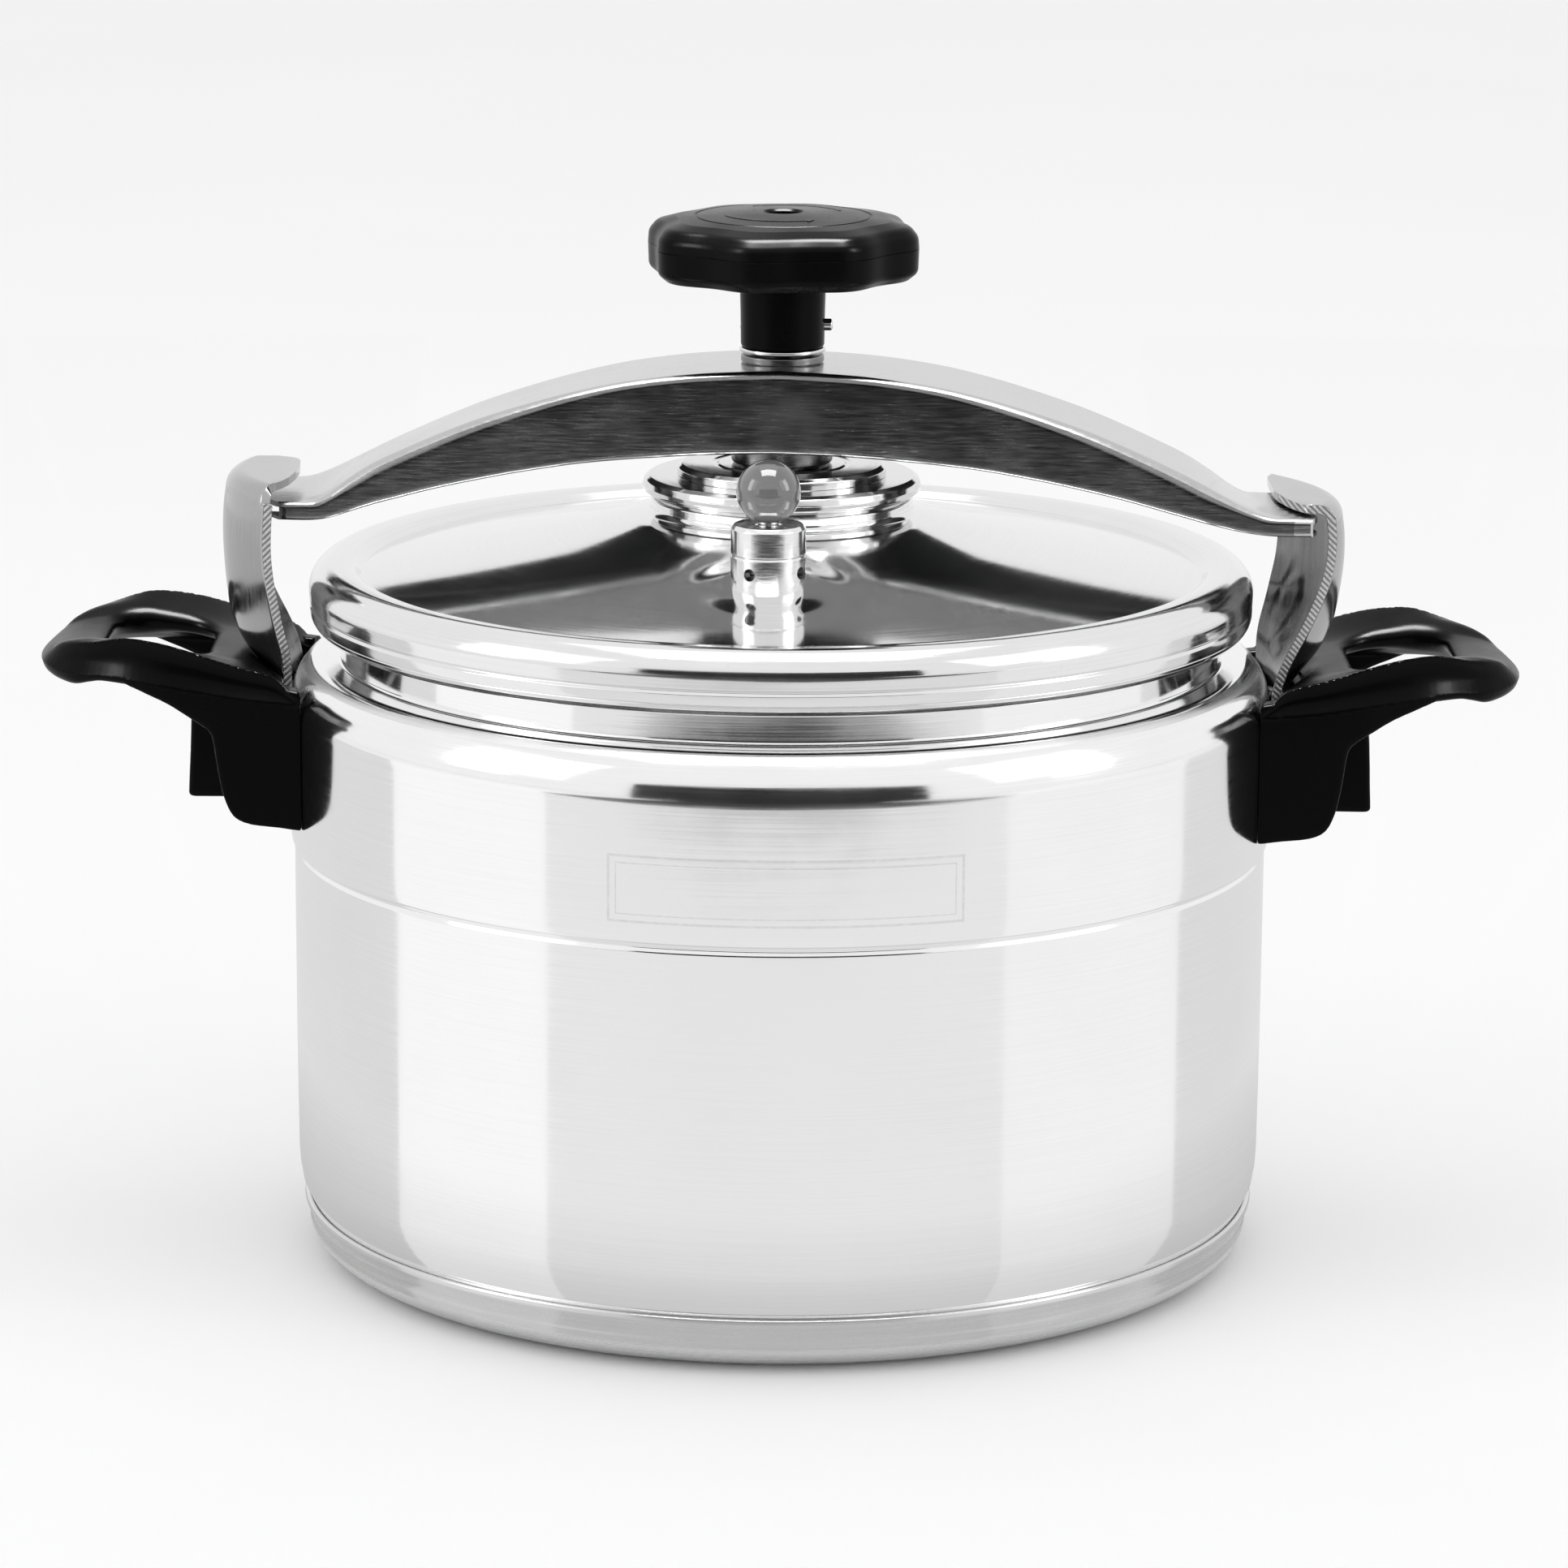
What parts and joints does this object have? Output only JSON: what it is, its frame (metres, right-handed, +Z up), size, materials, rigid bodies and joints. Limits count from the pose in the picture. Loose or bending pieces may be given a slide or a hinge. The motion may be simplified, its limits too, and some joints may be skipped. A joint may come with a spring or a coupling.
{
  "type": "pressure canner",
  "caption": "Round polished pressure canner with a domed lid held by an arched cross bar, hooks, a clamp screw and a lobed knob, with two side handles.",
  "frame": {"origin": "centre of the underside of the base, on the pot's axis", "axes": "+Z up along the pot's axis; +X along the handle axis; -Y towards the operating valve"},
  "size_m": [0.366, 0.2426, 0.2576],
  "materials": {
    "pot_metal": "polished, turned",
    "base_metal": "spun",
    "lid_metal": "polished, fine turning lines",
    "hook_metal": "polished faces, sheared edges",
    "bar_metal": "brushed along its length",
    "turned_metal": "turned and polished",
    "fastener_steel": "plain",
    "handle_plastic": "moulded, glossy, with a parting line",
    "ball_plastic": "moulded, slightly translucent",
    "seal_rubber": "matt"
  },
  "bodies": {
    "vessel": {"pot_body": "pot_metal", "base_disc": "base_metal", "hook_left": "hook_metal", "hook_right": "hook_metal", "hook_rivets": "fastener_steel", "handle_left": "handle_plastic", "handle_right": "handle_plastic", "handle_studs": "fastener_steel", "handle_washers": "fastener_steel", "handle_nuts": "fastener_steel"},
    "bridge": {"bridge_bar": "bar_metal", "bridge_nut": "fastener_steel", "bridge_collar": "turned_metal"},
    "lid": {"lid": "lid_metal", "lid_gasket": "seal_rubber", "hub_flange": "turned_metal", "hub_cap": "turned_metal", "hub_nut": "fastener_steel", "valve_base": "turned_metal", "valve_cap": "turned_metal", "valve_seal": "seal_rubber", "valve_nut": "fastener_steel", "safety_body": "fastener_steel", "safety_seal": "seal_rubber", "safety_nut": "fastener_steel", "valve_spring": "fastener_steel", "safety_spring": "fastener_steel"},
    "valve_pull": {"valve_needle": "fastener_steel", "valve_ball": "ball_plastic"},
    "safety_plunger": {"safety_pin": "turned_metal"},
    "clamp_knob": {"clamp_screw": "fastener_steel", "knob": "handle_plastic", "knob_pin": "turned_metal", "knob_washer": "turned_metal"}
  },
  "joints": [
    {"name": "bar_swing", "type": "hinge", "parent": "vessel", "child": "bridge", "pos_m": [0, 0, 0.2], "axis": [0, 0, 1], "range_deg": [-40, 0]},
    {"name": "lid_travel", "type": "slide", "parent": "bridge", "child": "lid", "axis": [0, 0, 1], "range_m": [0, 0.0042]},
    {"name": "knob_turn", "type": "hinge", "parent": "lid", "child": "clamp_knob", "pos_m": [0, 0, 0.2], "axis": [0, 0, 1], "range_deg": [0, 504.1]},
    {"name": "valve_lift", "type": "slide", "parent": "lid", "child": "valve_pull", "axis": [0, 0, 1], "range_m": [0, 0.003], "stiffness_N_per_m": 900, "springref_m": -0.002, "deforming": ["valve_spring"]},
    {"name": "safety_lift", "type": "slide", "parent": "lid", "child": "safety_plunger", "axis": [0, 0, 1], "range_m": [0, 0.002], "stiffness_N_per_m": 1500, "springref_m": -0.002, "deforming": ["safety_spring"]}
  ],
  "couplings": [
    {"joint": "knob_turn", "follows": "lid_travel", "rad_per_m": 2094.4}
  ]
}
